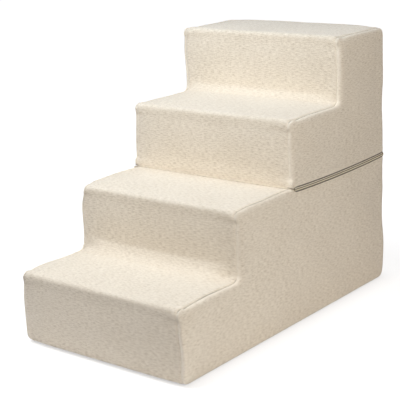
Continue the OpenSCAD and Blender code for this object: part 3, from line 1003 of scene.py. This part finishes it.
# Zip tapes
# A woven polyester tape is sewn inside the edge of each cover and carries one row of teeth.
# It is laid out straight, as it comes off the roll, and bent round the sides and the back.
zip_z = (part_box("lower_zip_teeth")[0].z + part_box("upper_zip_teeth")[1].z) / 2
zip_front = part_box("upper_zip_tape")[0].y
bend_steps = 16
zip_line_data = bpy.data.curves.new("zip_line", "CURVE")
zip_line_data.dimensions = "3D"
zip_spline = zip_line_data.splines.new("POLY")
route = [(-side_x, zip_front)]
for middle_x, start in ((-seam_x, pi), (seam_x, pi / 2)):
    for step in range(bend_steps + 1):
        angle = start - pi / 2 * step / bend_steps
        route.append((middle_x + corner_r * cos(angle), corner_y + corner_r * sin(angle)))
route.append((side_x, zip_front))
zip_spline.points.add(len(route) - 1)
for point, (x, y) in zip(zip_spline.points, route):
    point.co = (x, y, zip_z, 1)
zip_line = bpy.data.objects.new("zip_line", zip_line_data)
bpy.context.scene.collection.objects.link(zip_line)
zip_length = sum(
    (Vector(b) - Vector(a)).length for a, b in zip(route, route[1:]))


def bend_round(piece):
    """Bends a straight piece, made along X from the zip's left end, round the three sides."""
    apply_modifier(piece, "CURVE", object=zip_line, deform_axis="POS_X")
    move_to(piece, sag(positions(piece)))


tape_cloth = woven(
    "zip_tape_weave", (1.0, 0.93, 0.78, 1), (0.90, 0.82, 0.66, 1), 0.0007, 0.2, 0.1, 0.0002)
tree = tape_cloth.node_tree
shader = next(node for node in tree.nodes if node.type == "BSDF_PRINCIPLED")
plain = shader.inputs["Base Color"].links[0].from_socket
# A dark band along each tape's edge under the cover: painted shade in the gap between tape and
# cloth.
painted_gap_shade = add_node(tree, "ShaderNodeAttribute", {"attribute_name": "painted_gap_shade"}).outputs["Fac"]
tree.links.new(
    blend_colours(tree, painted_gap_shade, plain, (0.05, 0.038, 0.025, 1)), shader.inputs["Base Color"])
tape_in = 0.0012
tape_t = 0.0006
tape_step = 0.003
tape_rib = 0.0008
tape_round = 0.00015
gap_shade_in = {"lower": 0.0022, "upper": 0.0045}
gap_shade_fade = 0.0003
stitch_h = 0.00012
stitch_w = 0.0012
tape_stitch_pitch = 0.0035
tape_end_r = 0.007
tape_end_share = 0.08
for half in ("lower", "upper"):
    lo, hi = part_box(half + "_zip_tape")
    bpy.ops.object.select_all(action="DESELECT")
    bpy.ops.mesh.primitive_cube_add(
        size=1, location=(zip_length / 2, -tape_in - tape_t / 2, (lo.z + hi.z) / 2 - zip_z),
        scale=(zip_length, tape_t, hi.z - lo.z))
    tape = bpy.context.active_object
    tape.name = half + "_zip_tape_cloth"
    bpy.ops.object.transform_apply()
    cut_across(tape, 0, 0, zip_length, tape_step)
    cut_across(tape, 2, lo.z - zip_z, hi.z - zip_z, tape_rib)
    apply_modifier(
        tape, "BEVEL", width=tape_round, segments=1, limit_method="ANGLE",
        angle_limit=radians(60))
    place = positions(tape)
    x, y, z = place.T
    store_cloth_place(tape, x, z)
    to_edge = hi.z - zip_z - z if half == "upper" else z - (lo.z - zip_z)
    # Painted gap shade near the edge under the cover; the tape's stitches run along its inner side.
    inside = gap_shade_in[half] - to_edge
    store(tape, "painted_gap_shade", "FLOAT", ease(inside / gap_shade_fade))
    stitches = stitch_h * np.sin(2 * pi * x / tape_stitch_pitch)
    place[:, 1] += stitches * bell(inside, stitch_w)
    if half == "upper":
        to_end = np.clip(np.minimum(x, zip_length - x) / tape_end_r, 0, 1)
        arch = np.sqrt(np.clip(1 - (1 - to_end) ** 2, tape_end_share, 1))
        foot = lo.z - zip_z
        place[:, 2] = foot + (place[:, 2] - foot) * arch
    move_to(tape, place)
    bend_round(tape)
    tape.data.materials.append(tape_cloth)
    only(tape)
    bpy.ops.object.shade_smooth_by_angle(angle=radians(50))
    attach(tape, half + "_half")
    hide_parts(half + "_zip_tape")


# Zip teeth
# Moulded nylon teeth stand on a corded edge of each tape. Their roots are dark, the lower row's
# darker still as painted shade, and their light heads are a painted highlight.
row_w = 0.0025
cord_w = row_w / 4
tooth_reach = 0.0007
teeth_t = 0.0020
tooth_pitch = 0.0042
tooth_root_w = 0.00185
tooth_tip_w = 0.0013
tooth_round = 0.0004
stop_room = 0.0027
slider_gap = 0.0002
row_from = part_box("zip_slider")[1].y + slider_gap - zip_front
row_to = zip_length - stop_room
nylon, tree, shader = new_material("tooth_nylon")
coords = add_node(tree, "ShaderNodeTexCoord").outputs["Object"]
height = add_node(tree, "ShaderNodeAttribute", {"attribute_name": "row_height"}).outputs["Fac"]
off_middle = calc(tree, "ABSOLUTE", calc(tree, "ADD", height, 0.0001))
tooth_noise = add_node(tree, "ShaderNodeTexNoise", Vector=coords, Scale=260, Detail=2).outputs[0]
# Painted highlight on the teeth's heads.
head_highlight = add_node(
    tree, "ShaderNodeMapRange", {"interpolation_type": "SMOOTHSTEP"},
    Value=calc(tree, "MULTIPLY_ADD", tooth_noise, 0.0006, off_middle),
    From_Min=0.0017, From_Max=0.0011).outputs[0]
upper_row = add_node(
    tree, "ShaderNodeMapRange", Value=height, From_Min=-0.0006, From_Max=0.0006).outputs[0]
# The lower row's roots are darker: painted shade under the chain.
roots = blend_colours(tree, upper_row, (0.14, 0.11, 0.07, 1), (0.29, 0.23, 0.15, 1))
tree.links.new(blend_colours(tree, head_highlight, roots, (1.0, 0.92, 0.74, 1)), shader.inputs["Base Color"])
tree.links.new(calc(tree, "MULTIPLY_ADD", tooth_noise, 0.25, 0.28), shader.inputs["Roughness"])
nylon_bump = add_node(tree, "ShaderNodeBump", Strength=0.25, Distance=0.00008, Height=tooth_noise)
tree.links.new(nylon_bump.outputs[0], shader.inputs["Normal"])

cord_cloth, tree, shader = new_material("zip_cord")
spot = add_node(tree, "ShaderNodeAttribute", {"attribute_name": "cloth_place"}).outputs["Vector"]
twist = add_node(
    tree, "ShaderNodeTexWave", {"bands_direction": "DIAGONAL"},
    Vector=spot, Scale=420, Distortion=0.6).outputs[1]
tree.links.new(
    blend_colours(tree, twist, (0.11, 0.08, 0.05, 1), (0.20, 0.16, 0.10, 1)),
    shader.inputs["Base Color"])
shader.inputs["Roughness"].default_value = 0.7
cord_bump = add_node(tree, "ShaderNodeBump", Strength=0.6, Distance=0.00015, Height=twist)
tree.links.new(cord_bump.outputs[0], shader.inputs["Normal"])

tooth_count = int((row_to - row_from) / tooth_pitch)
tooth_h = row_w - cord_w + tooth_reach
row_y = teeth_t / 2 - tape_in
cord_flat_share = 1.3
cord_step = tooth_pitch / 2
cord_twist = 0.0001
for half, up, phase in (("lower", -1, 0.75), ("upper", 1, 0.25)):
    first_x = row_from + phase * tooth_pitch
    bpy.ops.object.select_all(action="DESELECT")
    bpy.ops.mesh.primitive_cube_add(
        size=1, location=(first_x, row_y, up * (tooth_h / 2 - tooth_reach)),
        scale=(tooth_root_w, teeth_t, tooth_h))
    teeth = bpy.context.active_object
    teeth.name = half + "_zip_teeth_row"
    bpy.ops.object.transform_apply()
    place = positions(teeth)
    tip = place[:, 2] * up < 0
    place[tip, 0] = first_x + (place[tip, 0] - first_x) * tooth_tip_w / tooth_root_w
    move_to(teeth, place)
    apply_modifier(teeth, "BEVEL", width=tooth_round, segments=2, limit_method="NONE")
    apply_modifier(
        teeth, "ARRAY", count=tooth_count, use_relative_offset=False, use_constant_offset=True,
        constant_offset_displace=(tooth_pitch, 0, 0))
    store(teeth, "row_height", "FLOAT", positions(teeth)[:, 2])
    bend_round(teeth)
    teeth.data.materials.append(nylon)
    only(teeth)
    bpy.ops.object.shade_smooth()

    bpy.ops.object.select_all(action="DESELECT")
    bpy.ops.mesh.primitive_cylinder_add(
        vertices=12, radius=0.5, depth=1, rotation=(0, pi / 2, 0),
        location=((row_from + row_to) / 2, row_y, up * (row_w - cord_w / 2)),
        scale=(cord_w * cord_flat_share, teeth_t, row_to - row_from))
    cord = bpy.context.active_object
    cord.name = half + "_zip_cord"
    bpy.ops.object.transform_apply()
    cut_across(cord, 0, row_from, row_to, cord_step)
    place = positions(cord)
    x, y, z = place.T
    place[:, 1] += cord_twist * np.cos(2 * pi * (x - row_from) / tooth_pitch)
    store_cloth_place(cord, x, y + z)
    move_to(cord, place)
    bend_round(cord)
    cord.data.materials.append(cord_cloth)
    only(cord)
    bpy.ops.object.shade_smooth_by_angle(angle=radians(60))
    for piece in (teeth, cord):
        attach(piece, half + "_half")
        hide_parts(half + "_zip_teeth")
bpy.data.objects.remove(zip_line)


# Zip stops, slider, link and tab
# Crimped stops end the rows. The slider, its wire link and its tab are cast and bent zinc
# with an antique brass finish, darker and lighter in patches.
brass, tree, shader = new_material("antique_brass")
coords = add_node(tree, "ShaderNodeTexCoord").outputs["Object"]
tarnish = add_node(tree, "ShaderNodeTexNoise", Vector=coords, Scale=180, Detail=4).outputs[0]
scratches = stretched_noise(tree, coords, (1, 1, 0.08), 2600)
tree.links.new(
    blend_colours(tree, tarnish, (0.22, 0.18, 0.12, 1), (0.62, 0.55, 0.41, 1)),
    shader.inputs["Base Color"])
tree.links.new(calc(tree, "MULTIPLY_ADD", tarnish, 0.35, 0.18), shader.inputs["Roughness"])
brass_bump = add_node(tree, "ShaderNodeBump", Strength=0.15, Distance=0.00006, Height=scratches)
tree.links.new(brass_bump.outputs[0], shader.inputs["Normal"])
shader.inputs["Metallic"].default_value = 1.0


def cast_copy(node, name, body, round_edge):
    """A CAD solid's own shape with its edges rounded, as casting and tumbling leave them."""
    piece = nodes[node].copy()
    piece.data = nodes[node].data.copy()
    piece.name = name
    for key in list(piece.keys()):
        del piece[key]
    bpy.context.scene.collection.objects.link(piece)
    piece.parent = None
    piece.data.materials.clear()
    piece.data.materials.append(brass)
    only(piece)
    bpy.ops.object.mode_set(mode="EDIT")
    bpy.ops.mesh.select_all(action="SELECT")
    bpy.ops.mesh.remove_doubles(threshold=merge_gap)
    if round_edge:
        bpy.ops.mesh.dissolve_limited(angle_limit=radians(1))
    bpy.ops.object.mode_set(mode="OBJECT")
    if round_edge:
        apply_modifier(
            piece, "BEVEL", width=round_edge, segments=2, limit_method="ANGLE",
            angle_limit=radians(40))
    only(piece)
    bpy.ops.object.shade_smooth_by_angle(angle=radians(40))
    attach(piece, body)
    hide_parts(node)


cast_copy("zip_slider", "slider_body", "slider", round_edge=0.00015)
cast_copy("pull_link", "wire_link", "link", round_edge=0)
cast_copy("pull_tab", "tab", "tab", round_edge=0.0003)
cast_copy("lower_end_stop", "lower_stop", "lower_half", round_edge=0.0004)
cast_copy("upper_end_stop", "upper_stop", "upper_half", round_edge=0.0004)
cast_copy("bottom_stop", "closed_end_stop", "lower_half", round_edge=0.0006)
